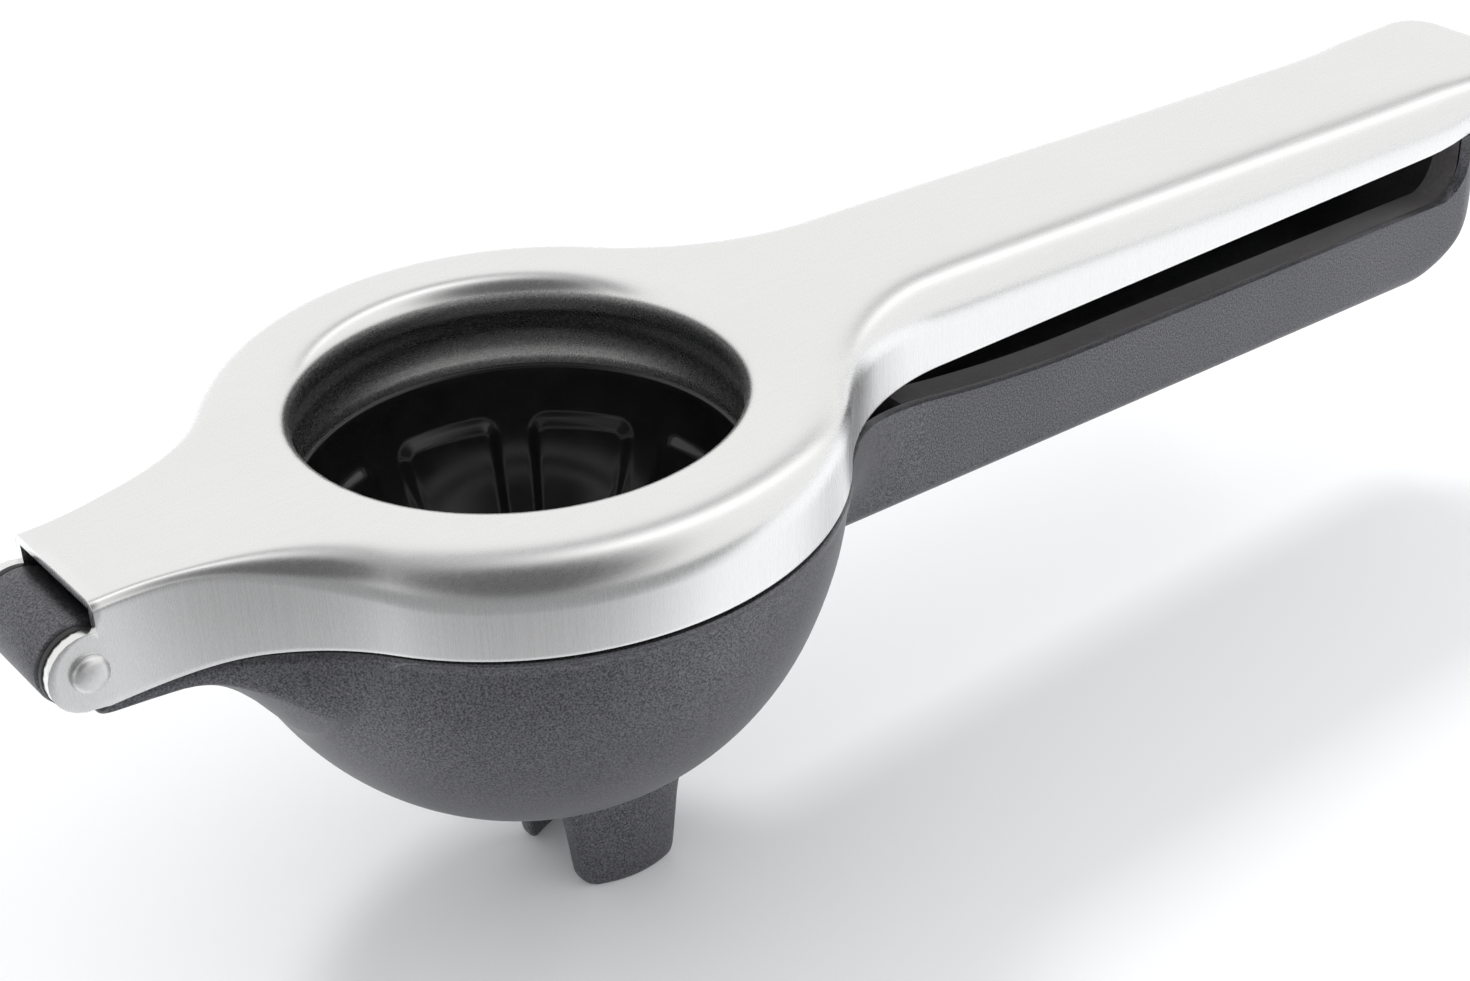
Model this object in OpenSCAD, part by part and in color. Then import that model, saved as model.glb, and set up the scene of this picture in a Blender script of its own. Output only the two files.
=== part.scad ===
// Hinged lemon squeezer: a pressed steel upper arm with a press cup closes on a cast lower arm.
// Lengths are in mm and angles in degrees. The handles run along +X and +Z is up.
// The origin is the bottom centre of the bounding box.
// The arms are first laid out from the bowl's axis, with the steel top face at height 0.

/* [Head] */
// Outer diameter of the round head of the steel shell
head_d = 78; // [60:1:100]
// Thickness of the steel sheet
sheet = 1.2; // [0.8:0.1:2]
// Outer radius of the bend between the top face and the skirt
bend_r = 4.5; // [3:0.5:6]
// Height of the skirt round the head
skirt_h = 12.1; // [10:0.1:14]

/* [Collar] */
// Width of the rim from the head's outline to the opening at its narrowest
rim_w = 12.7; // [11:0.1:16]
// Radius of the visible bend from the top face into the opening
mouth_r = 3; // [2:0.5:4]
// How far the collar bellies out beyond its narrowest radius
belly_out = 1.9; // [1:0.1:3]
// Depth of that belly below the top face
belly_z = 8.5; // [6:0.5:10]
// How far the turned-in lower lip stays outside the narrowest radius
lip_out = 1.2; // [0.5:0.1:2.5]
// Depth of the collar
collar_h = 12.9; // [11:0.1:14]

/* [Neck and hinge] */
// Half the width of the neck over the skirts
neck_w = 9.2; // [8:0.1:12]
// Radius of the plan curve from the neck into the head
neck_blend_r = 30.2; // [24:0.2:36]
// Length of the neck from the head's outline to the steel end edge
neck_l = 19.9; // [18.5:0.1:26]
// Distance from that end edge to the hinge pin
pin_run = 1.6; // [1:0.1:3]
// Depth of the hinge pin below the top face
pin_z = 7.9; // [7:0.1:9]
// Radius of the pin's shank
pin_r = 1.7; // [1.2:0.1:2.2]
// Radius of the domed pin heads
pin_head_r = 2.5; // [2.2:0.1:3]
// Height of the domed pin heads
pin_head_h = 1.2; // [0.8:0.1:1.6]
// Radius of the rounded ears
ear_r = 4.9; // [4:0.1:5.2]
// Radius of the cast barrel between the ears
barrel_r = 5; // [4:0.1:5.2]
// Thickness of the washer at each end of the barrel
washer_t = 0.8; // [0.5:0.1:1.2]
// Radius of those washers
washer_r = 4.1; // [3.5:0.1:4.5]
// Angle that the upper arm stands open at rest
rest_open = 0.7; // [0.5:0.1:1.5]

/* [Steel handle] */
// Half the width of both handles
grip_w = 15; // [12:0.5:18]
// Radius of the plan curve from the head into the handle
grip_blend_r = 31; // [26:0.5:36]
// Straight run from the plan curve to the knee where the droop starts
run = 2; // [1:0.5:4]
// Length of the drooping part of the steel handle
grip_l = 126; // [110:1:140]
// Plan radius of the steel handle's end corners
grip_corner_r = 6; // [5.6:0.1:7]
// Angle that the steel handle's top droops by
droop = 2.8; // [2:0.1:3.5]
// Angle that the lower edge of the steel handle droops by
hem_droop = 0.72; // [0.5:0.02:1.5]
// Distance from the handle's end to where its lower edge sweeps up
sweep_l = 29; // [20:1:35]
// Radius of that sweep
sweep_r = 35; // [25:1:50]
// Length of the curved part of the sweep
sweep_run = 8; // [5:0.5:10]
// Height of the straight part of the sweep
sweep_h = 2.6; // [1:0.1:4]

/* [Press cup] */
// How far the cup's inside is set in from the collar's lip
cup_step = 0.5; // [0.2:0.1:2]
// Depth of the cup's centre below the collar's lower edge
cup_drop = 1; // [0.5:0.1:2]
// Wall of the cup
cup_wall = 2.4; // [1.8:0.1:3]
// Wall of the sleeve that holds the cup on the collar
sleeve_wall = 2; // [1.5:0.1:3]
// Number of sunk panels inside the cup
panel_n = 9; // [6:1:12]
// Width of a panel as an angle
panel_a = 31.5; // [20:0.5:34]
// Depth that the panels are sunk by
panel_t = 0.8; // [0.4:0.1:1.2]
// Slope angle where a panel starts, below the cup's centre
panel_top = 12; // [8:1:16]
// Slope angle where a panel ends
panel_low = 56; // [45:1:65]

/* [Bowl] */
// How far the bowl's side is set in from the head's outline
bowl_step = 0.6; // [0.3:0.1:2]
// How much deeper the bowl is than its outer radius
bowl_extra = 2.6; // [1:0.1:6]
// Fullness of the bowl's side; 2 is an ellipse
bowl_full = 2.05; // [1.9:0.05:2.6]
// Wall of the bowl
bowl_wall = 2.6; // [2:0.1:3.5]
// Height of the rim band that follows the steel outline
band_h = 2.3; // [2:0.1:4]
// Distance from the head's outline to the knee under the neck
knee_l = 7.6; // [4:0.2:10]
// Depth of that knee below the top face
knee_z = 17; // [15:0.2:19]
// Number of drain slots
slot_n = 3; // [1:1:3]
// Width of a drain slot
slot_w = 1.8; // [1.2:0.1:2.2]
// Length of a drain slot
slot_l = 20; // [12:1:24]
// Distance between neighbouring drain slots
slot_pitch = 3; // [2.6:0.1:3.2]

/* [Rest lugs] */
// Distance from the bowl's axis to the middle of the lugs
lug_x = 6.5; // [0:0.5:9]
// Half the distance between the middles of the two lugs
lug_y = 7.6; // [6.5:0.1:9]
// Length of a lug along the handle
lug_l = 13; // [8:0.5:14]
// Thickness of a lug
lug_t = 4; // [2.5:0.1:5]
// How far the lugs reach below the bowl
lug_h = 17.85; // [10:0.05:22]

/* [Lower handle] */
// Angle that the lower handle droops by
low_droop = 1.4; // [0.8:0.1:1.8]
// Depth of the handle's underside below the top face, at the bowl's axis
low_base_z = 28.3; // [24:0.1:30]
// Height of the handle's side walls
low_wall_h = 12.8; // [9:0.1:14]
// Length of the lower handle from the head's outline
low_l = 126; // [110:1:136]
// Radius of the rounded underside at the end
low_end_r = 16; // [12:0.5:18]
// Radius of the rounded lower edges and end corners
low_edge_r = 4; // [3:0.5:5]
// Distance from the head's outline to where the side walls are cut to their full depth
dip_l = 48; // [30:1:56]
// Length of the full-height end beyond that cut
post_l = 5.8; // [3:0.1:15]
// Radius of the corner at the end of the cut
dip_r = 5.6; // [4:0.2:8]
// Thickness of the casting beside the liner
low_wall = 1.3; // [1:0.1:2]
// Thickness of the casting under the liner
low_floor = 2; // [1.5:0.1:3]

/* [Handle liner] */
// Width of the liner's side walls
liner_wall = 4.6; // [3:0.1:6]
// Thickness of the liner's floor
liner_floor = 1.6; // [1.2:0.1:2.5]
// Thickness of the liner's end wall
liner_end_wall = 3; // [2:0.1:5]
// Distance from the head's outline to the liner's inner end
liner_gap = 9; // [5:1:16]
// How far the liner's top lies below the casting's edge
liner_step = 0.4; // [0.2:0.1:1]

/* [Fits] */
// Gap between parts that turn against each other
play = 0.05; // [0.03:0.01:0.1]
// Gap round the liner and between the cup and the collar
seat = 0.1; // [0.05:0.01:0.2]
// Gap between the cast neck and the steel skirts
neck_gap = 0.4; // [0.3:0.1:1]
// Gap between the skirt and the bowl's rim at the hinge
rim_gap = 0.05; // [0.03:0.01:0.2]
// Gap between the closed handles at their end
stop_gap = 0.1; // [0.05:0.01:0.2]

/* [Hidden] */
$fn = 96;
eps = 0.01;

// Small steps and overlaps where the pieces of the pressed sheet join
lap = 0.06;
strip = 1;
brim = 0.4;
spare_a = 3;

head_r = head_d / 2;
over = 2 * head_r;

// Places from the bowl's axis and depths from the top face
throat_r = head_r - rim_w;
belly_r = throat_r + belly_out;
lip_r = throat_r + lip_out;
neck_end = head_r + neck_l;
pin_x = neck_end + pin_run;
cup_r = lip_r - cup_step;
cup_z = collar_h + cup_drop;
bowl_r = head_r - bowl_step;
bowl_h = bowl_r + bowl_extra;
knee_x = head_r + knee_l;
low_end = head_r + low_l;
dip_x = head_r + dip_l;
dip_end = low_end - post_l;
liner_start = head_r + liner_gap;

arc_n = 6;
curve_n = 14;
cyl_turn = 90;
half_turn = 180;

// Centre of a plan curve, for a half-width and a curve radius
function root_c(w, b) = [sqrt(pow(head_r + b + lap, 2) - pow(w + b + lap, 2)), w + b + lap];
grip_x = root_c(grip_w, grip_blend_r).x;
neck_x = root_c(neck_w, neck_blend_r).x;
grip_az = atan2(root_c(grip_w, grip_blend_r).y, grip_x);
neck_az = atan2(root_c(neck_w, neck_blend_r).y, neck_x);
knee = grip_x + run;

// The rest position of the steel handle's end, and the middle of the whole length
end_x = knee + (grip_l - bend_r) * cos(droop) - bend_r * sin(droop);
end_z = -(grip_l - bend_r) * sin(droop) - bend_r * cos(droop);
far_x = -pin_x + (end_x + pin_x) * cos(rest_open) - (end_z + pin_z) * sin(rest_open) + bend_r;
near_x = -pin_x - max(ear_r, barrel_r);
mid_x = (far_x + near_x) / 2;

rim_z = skirt_h + rim_gap;
lug_z = rim_z + bowl_h + lug_h;
lip_z = collar_h + lap / 2;
neck_in = neck_w - sheet - neck_gap;
barrel_l = 2 * (neck_w - sheet - washer_t - 2 * play);
sleeve_in = belly_r + sheet + seat;
bowl_in = bowl_r - bowl_wall;
low_in = grip_w - low_wall;
low_slope = tan(low_droop);

function arc(cx, cz, r, a0, a1) = [
    for (i = [0:arc_n]) let (a = a0 + (a1 - a0) * i / arc_n) [cx + r * cos(a), cz + r * sin(a)]
];

// The bowl's side, from its rim down to its bottom
function bowl_pts(r, h, z) = [
    for (i = [0:curve_n]) let (s = sin(cyl_turn * i / curve_n))
        [r * pow(max(0, 1 - pow(s, bowl_full)), 1 / bowl_full), z - h * s]
];

// Sheet section of the bend and the skirt, seen along the edge, with the bend's centre at x = 0
module bend_section(h) {
    translate([0, -lap / 2])
        polygon(concat(
            arc(0, -bend_r, bend_r, cyl_turn, 0),
            [[bend_r, -h], [bend_r - sheet, -h]],
            arc(0, -bend_r, bend_r - sheet, 0, cyl_turn)
        ));
}

// Flat piece inside one plan curve, for a half-width and a curve radius
module outline_root(w, b, in) {
    x = sqrt(pow(head_r + b - lap, 2) - pow(w + b, 2));
    difference() {
        polygon([
            [0, 0],
            [x, w + b],
            [x, 0],
        ]);
        translate([x, w + b])
            circle(r = b + in);
    }
    translate([x, 0])
        square([strip, w - in]);
}

// Flat outline of the head, neck and handle roots, taken in by a margin
module head_outline(in) {
    circle(r = head_r - in);
    for (s = [0, 1]) mirror([0, s]) {
        outline_root(grip_w, grip_blend_r, in);
        mirror([1, 0])
            outline_root(neck_w, neck_blend_r, in);
        translate([-neck_end, 0])
            square([neck_end - neck_x + strip / 2, neck_w - in]);
    }
}

// Bent rim and skirt along one plan curve
module rim_root(w, b) {
    c = root_c(w, b);
    az = atan2(c.y, c.x);
    translate([c.x, c.y, 0])
        rotate([0, 0, half_turn + az])
            rotate_extrude(angle = cyl_turn - az)
                translate([b + bend_r, 0])
                    mirror([1, 0])
                        bend_section(skirt_h - lap);
}

// Bent rim and skirt round the head, its plan curves and its neck
module head_rim() {
    for (s = [0, 1]) mirror([0, s, 0]) {
        rotate([0, 0, grip_az - spare_a])
            rotate_extrude(angle = half_turn - grip_az - neck_az + 2 * spare_a)
                translate([head_r - bend_r, 0])
                    bend_section(skirt_h);
        rim_root(grip_w, grip_blend_r);
        mirror([1, 0, 0])
            rim_root(neck_w, neck_blend_r);
        translate([-neck_end, neck_w - bend_r, 0])
            rotate([cyl_turn, 0, cyl_turn])
                linear_extrude(neck_end - neck_x + strip)
                    bend_section(skirt_h);
    }
}

// Straight side wall of the steel handle with its bent edge
module side_wall(l, w, h) {
    translate([0, w - bend_r, 0])
        rotate([cyl_turn, 0, cyl_turn])
            linear_extrude(l)
                bend_section(h);
}

// Short straight channel between the plan curve and the knee
module root_channel() {
    l = run + 1.25 * strip;
    translate([0, -grip_w + bend_r - brim, -sheet])
        cube([l, 2 * (grip_w - bend_r + brim), sheet]);
    for (s = [0, 1]) mirror([0, s, 0])
        side_wall(l, grip_w, 2 * skirt_h);
}

// Collar drawn down from the top face, with its turned-in lip
module collar() {
    translate([0, 0, -lap / 2])
        rotate_extrude()
            polygon(concat(
                arc(throat_r + mouth_r, -mouth_r, mouth_r, cyl_turn, half_turn),
                [[belly_r, -belly_z]],
                [[lip_r, -collar_h]],
                [[lip_r + sheet, -collar_h]],
                [[belly_r + sheet, -belly_z]],
                arc(throat_r + mouth_r, -mouth_r, mouth_r - sheet, half_turn, cyl_turn)
            ));
}

// Handle part of the shell, along its own straight line from the knee
module steel_handle() {
    deep = 2 * skirt_h;
    w = grip_w - lap;
    x = grip_l - grip_corner_r;
    y = w - grip_corner_r;
    r = grip_corner_r - bend_r + brim;
    translate([0, 0, -sheet])
        linear_extrude(sheet)
            union() {
                translate([0, -y - r])
                    square([x, 2 * (y + r)]);
                translate([0, -y])
                    square([x + r, 2 * y]);
                for (s = [-1, 1])
                    translate([x, s * y])
                        circle(r = r);
            }
    for (s = [0, 1]) mirror([0, s, 0]) {
        side_wall(x, w, deep);
        translate([x, y, 0])
            rotate_extrude(angle = cyl_turn)
                translate([grip_corner_r - bend_r, 0])
                    bend_section(deep);
    }
    translate([grip_l - bend_r, y, 0])
        rotate([cyl_turn, 0, 0])
            linear_extrude(2 * y)
                bend_section(deep);
}

// Side view of all that lies below the steel handle's lower edge, from the handle's root
module hem_side(up) {
    l = grip_l + run;
    polygon(concat(
        [[-over, -over], [-over, up], [0, up]],
        arc(l - sweep_l, up + sweep_r, sweep_r, -cyl_turn, asin(sweep_run / sweep_r) - cyl_turn),
        [
            [l, up + sweep_r - sqrt(sweep_r * sweep_r - sweep_run * sweep_run) + sweep_h],
            [l + over, up],
            [l + over, -over],
        ]
    ));
}

module hem_cut(up) {
    translate([grip_x, over, -skirt_h])
        rotate([0, hem_droop, 0])
            rotate([cyl_turn, 0, 0])
                linear_extrude(2 * over)
                    hem_side(up);
}

module upper_shell() {
    color([0.86, 0.86, 0.85])
        difference() {
            union() {
                translate([0, 0, -sheet])
                    linear_extrude(sheet)
                        difference() {
                            head_outline(bend_r - brim);
                            circle(r = throat_r + mouth_r - brim);
                        }
                head_rim();
                collar();
                difference() {
                    union() {
                        translate([grip_x - strip, 0, -lap])
                            root_channel();
                        translate([knee, 0, -2 * lap])
                            rotate([0, droop, 0])
                                steel_handle();
                    }
                    hem_cut(0);
                }
                ears();
            }
            translate([-pin_x, over, -pin_z])
                rotate([cyl_turn, 0, 0])
                    cylinder(r = pin_r, h = 2 * over);
        }
}

// Round ears at the neck's end
module ears() {
    for (s = [0, 1]) mirror([0, s, 0])
        translate([0, neck_w, -pin_z])
            rotate([cyl_turn, 0, 0])
                linear_extrude(sheet)
                    union() {
                        intersection() {
                            translate([-pin_x, 0])
                                circle(r = ear_r);
                            translate([-pin_x - ear_r, -ear_r])
                                square([pin_x + ear_r - neck_end, 2 * ear_r]);
                        }
                        translate([-pin_x, pin_z - skirt_h])
                            square([pin_x - neck_x, skirt_h - bend_r - lap]);
                    }
}

module press_cup() {
    out = cup_r + cup_wall;
    base = -lip_z - cup_wall - seat;
    color([0.06, 0.06, 0.065])
        difference() {
            rotate_extrude()
                polygon(concat(
                    [[0, -cup_z - cup_r]],
                    arc(0, -cup_z, cup_r, -cyl_turn, 0),
                    [
                        [cup_r, -lip_z],
                        [sleeve_in, -lip_z],
                        [sleeve_in, -sheet],
                        [sleeve_in + sleeve_wall, -sheet],
                        [sleeve_in + sleeve_wall, base],
                        [out, base],
                    ],
                    arc(0, -cup_z - seat, out, asin((base + cup_z + seat) / out), -cyl_turn)
                ));
            for (i = [0:panel_n - 1])
                rotate([0, 0, (i * 4 * cyl_turn - panel_a * panel_n / 2) / panel_n])
                    rotate_extrude(angle = panel_a)
                        polygon(concat(
                            arc(0, -cup_z, cup_r - panel_t, -panel_low, -panel_top),
                            arc(0, -cup_z, cup_r + panel_t, -panel_top, -panel_low)
                        ));
        }
}

// Side view of all that lies above the lower arm's top edge, for a margin below that edge
module top_side(down) {
    x0 = bowl_r - bowl_wall / 4;
    z0 = -rim_z - down;
    z1 = -low_base_z + low_wall_h - low_slope * dip_x - down;
    z2 = -low_base_z + low_wall_h - low_slope * (dip_end - dip_r) - down;
    polygon(concat(
        [[-over, over], [-over, z0]],
        [
            for (i = [0:curve_n])
                [x0 + (dip_x - x0) * i / curve_n, z1 + (z0 - z1) * pow(1 - i / curve_n, 2)]
        ],
        arc(dip_end - dip_r, z2 + dip_r, dip_r, -cyl_turn, 0),
        [[dip_end, over]]
    ));
}

module top_cut(down) {
    translate([0, over, 0])
        rotate([cyl_turn, 0, 0])
            linear_extrude(2 * over)
                top_side(down);
}

// Side view of the lower handle
module low_side(in) {
    start = head_r - bowl_wall - low_floor;
    z0 = -low_base_z - low_slope * start + in;
    z1 = -low_base_z - low_slope * (low_end - low_end_r) + in;
    polygon(concat(
        [[start, 0], [start, z0]],
        arc(low_end - low_end_r, z1 + low_end_r - in, low_end_r - in, -cyl_turn, 0),
        [[low_end - in, 0]]
    ));
}

module low_prism(in) {
    intersection() {
        translate([0, over, 0])
            rotate([cyl_turn, 0, 0])
                linear_extrude(2 * over)
                    low_side(in);
        translate([0, 0, -over])
            linear_extrude(over)
                union() {
                    translate([0, -grip_w + in])
                        square([low_end - low_edge_r, 2 * (grip_w - in)]);
                    translate([0, -grip_w + low_edge_r])
                        square([low_end - in, 2 * (grip_w - low_edge_r)]);
                    for (s = [-1, 1])
                        translate([low_end - low_edge_r, s * (grip_w - low_edge_r)])
                            circle(r = low_edge_r - in);
                }
    }
}

// Plan of the curve between the bowl and the lower handle
module low_blend() {
    intersection() {
        head_outline(0);
        translate([head_r * cos(grip_az) + 2 * strip, -head_r])
            square([grip_x - head_r * cos(grip_az) - 2 * strip, 2 * head_r]);
    }
}

module rest_lug() {
    bulge = (lug_l * lug_l / lug_t + lug_t) / 4;
    intersection() {
        translate([0, bulge - lug_t / 2, -lug_z])
            cylinder(r = bulge, h = lug_z - rim_z - bowl_h / 2);
        translate([0, lug_t / 2 - bulge, -lug_z])
            cylinder(r = bulge, h = lug_z - rim_z - bowl_h / 2);
    }
}

module drain_slots() {
    for (i = [0:slot_n - 1])
        translate([lug_x, (i - (slot_n - 1) / 2) * slot_pitch, -over]) {
            translate([-(slot_l - slot_w) / 2, -slot_w / 2, 0])
                cube([slot_l - slot_w, slot_w, over]);
            for (s = [-1, 1])
                translate([s * (slot_l - slot_w) / 2, 0, 0])
                    cylinder(r = slot_w / 2, h = over);
        }
}

// Side view of the web under the neck
module neck_web() {
    polygon([
        [-neck_end, -rim_z],
        [-neck_end, -rim_z - band_h],
        [-knee_x, -knee_z],
        [-bowl_in, -knee_z - (knee_x - bowl_in) / 2],
        [-bowl_in, -rim_z],
    ]);
}

// The cast body without its top edge and its hollows
module low_body() {
    rotate_extrude()
        polygon(concat([[0, 0], [bowl_r, 0]], bowl_pts(bowl_r, bowl_h, -rim_z)));
    translate([0, 0, -rim_z - band_h])
        linear_extrude(band_h)
            head_outline(0);
    translate([0, neck_w, 0])
        rotate([cyl_turn, 0, 0])
            linear_extrude(2 * neck_w)
                neck_web();
    low_prism(0);
    intersection() {
        translate([0, 0, -over])
            linear_extrude(over)
                low_blend();
        translate([0, over, 0])
            rotate([cyl_turn, 0, 0])
                linear_extrude(2 * over)
                    translate([bowl_wall - head_r, 0])
                        low_side(0);
    }
    for (s = [-1, 1])
        translate([lug_x, s * lug_y, 0])
            rest_lug();
}

module lower_arm() {
    neck_top = -pin_z + barrel_r / 2;
    color([0.2, 0.2, 0.21])
        difference() {
            union() {
                difference() {
                    low_body();
                    top_cut(0);
                    hem_stop();
                }
                translate([-pin_x, -neck_in, -rim_z - band_h])
                    cube([pin_x - bowl_in - bowl_wall / 2, 2 * neck_in, neck_top + rim_z + band_h]);
                translate([-pin_x, barrel_l / 2, -pin_z])
                    rotate([cyl_turn, 0, 0])
                        cylinder(r = barrel_r, h = barrel_l);
            }
            for (s = [0, 1]) mirror([0, s, 0])
                translate([-pin_x - ear_r, barrel_l / 2, -pin_z - ear_r - neck_gap])
                    cube([2 * ear_r + neck_gap, neck_w, 2 * ear_r + 2 * neck_gap]);
            rotate_extrude()
                polygon(concat(
                    [[0, 0], [bowl_in, 0]],
                    bowl_pts(bowl_in, bowl_h - bowl_wall, -rim_z)
                ));
            translate([-pin_x, over, -pin_z])
                rotate([cyl_turn, 0, 0])
                    cylinder(r = pin_r + play, h = 2 * over);
            liner_space(0);
            drain_slots();
        }
}

// Room above the full-height end of the lower handle, up to the steel handle's edge
module hem_stop() {
    difference() {
        translate([dip_end - eps, -over, -over])
            cube([over, 2 * over, 2 * over]);
        open_arm()
            hem_cut(-stop_gap);
    }
}

// Block that the liner fills, taken in by a margin
module liner_space(in) {
    difference() {
        intersection() {
            low_prism(low_wall + in);
            translate([liner_start + in, -over, -over])
                cube([over * 2, 2 * over, 2 * over]);
        }
        translate([0, 0, -low_base_z - low_slope * low_end - over])
            rotate([0, low_droop, 0])
                translate([0, -over, low_slope * low_end + low_floor + in - low_wall])
                    cube([3 * over, 2 * over, over]);
    }
}

module handle_liner() {
    floor_z = -low_base_z - low_slope * low_end + low_floor + liner_floor;
    color([0.27, 0.26, 0.26])
        difference() {
            liner_space(seat);
            top_cut(liner_step);
            translate([-eps, 0, 0])
                open_arm()
                    steel_room();
            translate([liner_start + liner_wall, -low_in + liner_wall, floor_z])
                cube([
                    low_end - low_wall - liner_end_wall - liner_start - liner_wall,
                    2 * (low_in - liner_wall),
                    over,
                ]);
        }
}

// Room above the liner's full-height end
module steel_room() {
    difference() {
        translate([grip_x, -over, -over])
            cube([2 * over, 2 * over, 2 * over]);
        hem_cut(-liner_step);
    }
}

module hinge_pin() {
    dome = (pin_head_r * pin_head_r / pin_head_h + pin_head_h) / 2;
    color([0.8, 0.8, 0.8]) {
        translate([-pin_x, neck_w, -pin_z])
            rotate([cyl_turn, 0, 0])
                cylinder(r = pin_r, h = 2 * neck_w);
        for (s = [0, 1]) mirror([0, s, 0])
            translate([-pin_x, neck_w, -pin_z])
                rotate([-cyl_turn, 0, 0])
                    intersection() {
                        cylinder(r = pin_head_r, h = pin_head_h);
                        translate([0, 0, pin_head_h - dome])
                            sphere(r = dome);
                    }
    }
}

module washer() {
    translate([-pin_x, neck_w - sheet - play, -pin_z])
        rotate([cyl_turn, 0, 0])
            difference() {
                cylinder(r = washer_r, h = washer_t);
                translate([0, 0, -washer_t])
                    cylinder(r = pin_r + play, h = 3 * washer_t);
            }
}

module washer_near() {
    color([0.05, 0.05, 0.05])
        mirror([0, 1, 0])
            washer();
}

module washer_far() {
    color([0.05, 0.05, 0.05])
        washer();
}

// The upper arm's swing about the pin, from closed to its rest position
module open_arm() {
    translate([-pin_x, 0, -pin_z])
        rotate([0, -rest_open, 0])
            translate([pin_x, 0, pin_z])
                children();
}

module place() {
    translate([-mid_x, 0, lug_z])
        children();
}

place() open_arm() upper_shell();
place() open_arm() press_cup();
place() open_arm() hinge_pin();
place() open_arm() washer_near();
place() open_arm() washer_far();
place() lower_arm();
place() handle_liner();
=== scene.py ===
import math

import bmesh
import bpy
from mathutils import Matrix, Vector


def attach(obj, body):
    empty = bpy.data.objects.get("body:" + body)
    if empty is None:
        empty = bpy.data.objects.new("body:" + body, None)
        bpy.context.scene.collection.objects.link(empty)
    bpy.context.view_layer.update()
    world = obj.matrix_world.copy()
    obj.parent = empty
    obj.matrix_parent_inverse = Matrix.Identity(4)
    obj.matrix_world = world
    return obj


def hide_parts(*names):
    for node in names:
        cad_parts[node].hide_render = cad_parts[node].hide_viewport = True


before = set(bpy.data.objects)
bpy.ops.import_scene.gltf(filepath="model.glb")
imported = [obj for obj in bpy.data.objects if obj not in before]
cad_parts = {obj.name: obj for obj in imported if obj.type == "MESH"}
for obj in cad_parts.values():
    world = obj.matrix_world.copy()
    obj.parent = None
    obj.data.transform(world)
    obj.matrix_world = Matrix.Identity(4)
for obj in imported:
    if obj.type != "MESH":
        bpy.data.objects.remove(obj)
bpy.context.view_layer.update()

# Lengths are in mm and are laid out from the bowl's axis, with the steel top at height 0.
MM = 0.001
MID_X = 57.4696
LIFT = 71.0
PIN_X = -60.5
PIN_Z = -7.9
REST_OPEN = 0.7

HEAD_R = 39.0
SHEET = 1.2
SKIRT_H = 12.1
NECK_W = 9.2
NECK_BLEND_R = 30.2
NECK_END = 58.9
EAR_R = 4.65
BARREL_R = 5.0
HEEL_X = -60.3
NECK_KNEE = 50.6
NECK_CAP = 17.0
PIN_R = 1.7
GRIP_W = 14.35
GRIP_BLEND_R = 31.0
GRIP_CORNER_R = 8.0
GRIP_L = 124.2
DROOP = 2.8
HEM_DROOP = 0.72
SWEEP_L = 29.0
SWEEP_R = 35.0
SWEEP_RUN = 8.0
SWEEP_H = 1.3

THROAT_R = 26.6
MOUTH_R = 3.0
COLLAR_H = 12.9
SLEEVE_IN = 29.5
SLEEVE_OUT = 31.5

CUP_R = 27.0
CUP_Z = 13.9
CUP_WALL = 2.4
PANELS = 9
PANEL_HALF = 15.75
PANEL_TOP = 12.5
PANEL_LOW = 56.0
PANEL_RISE = 0.9

RIM_Z = 12.25
BOWL_R = 38.75
BOWL_H = 40.95
BOWL_FULL = 2.05
BOWL_IN = 35.8
BOWL_BACK = 0.9
BOWL_WALL = 2.6

SLOT_MID = 6.5
SLOT_REACH = 10.0
SLOT_END = 0.5
SLOT_SPANS = [(-3.9, -2.1), (-0.9, 0.9), (2.1, 3.9)]
SLOT_ZONE = -44.0

LUG_LEFT = -0.1
LUG_RIGHT = 13.4
LUG_T = 2.9
LUG_ROOT = -58.0
LUG_FLARE = 8.0

ROOT_X = 27.0
ROOT_SPAN = 2.4
LOW_HALF = 15.0
LOW_BASE = 28.3
LOW_SLOPE = math.tan(math.radians(1.4))
LOW_TOP = 15.5
LOW_END = 165.0
LOW_END_R = 16.0
LOW_EDGE_R = 3.0
DIP_X = 87.0
DIP_END = 159.2
DIP_R = 5.6
LOW_WALL = 1.3


def down_to_floor():
    """Turns the layout in mm into the resting frame in metres."""
    return Matrix.Scale(MM, 4) @ Matrix.Translation((-MID_X, 0, LIFT))


def swung_open():
    """The same for what turns with the upper arm, which rests slightly open."""
    turn = Matrix.Rotation(math.radians(-REST_OPEN), 4, "Y")
    pin = Vector((PIN_X, 0, PIN_Z))
    return down_to_floor() @ Matrix.Translation(pin) @ turn @ Matrix.Translation(-pin)


def blend_value(a, b, t):
    """Eases from a to b as t goes from 0 to 1."""
    t = min(1.0, max(0.0, t))
    return a + (b - a) * t * t * (3 - 2 * t)


def bent_grid(bm, across, along, place):
    """Bends a flat grid so that its point (i, j) lies at place(i, j); gives the points in rows."""
    made = bmesh.ops.create_grid(bm, x_segments=across, y_segments=along, size=1)
    rows = {}
    for v in made["verts"]:
        i = round((v.co.x + 1) / 2 * across)
        j = round((v.co.y + 1) / 2 * along)
        rows[i, j] = v
        v.co = Vector(place(i, j))
    return rows


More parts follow.
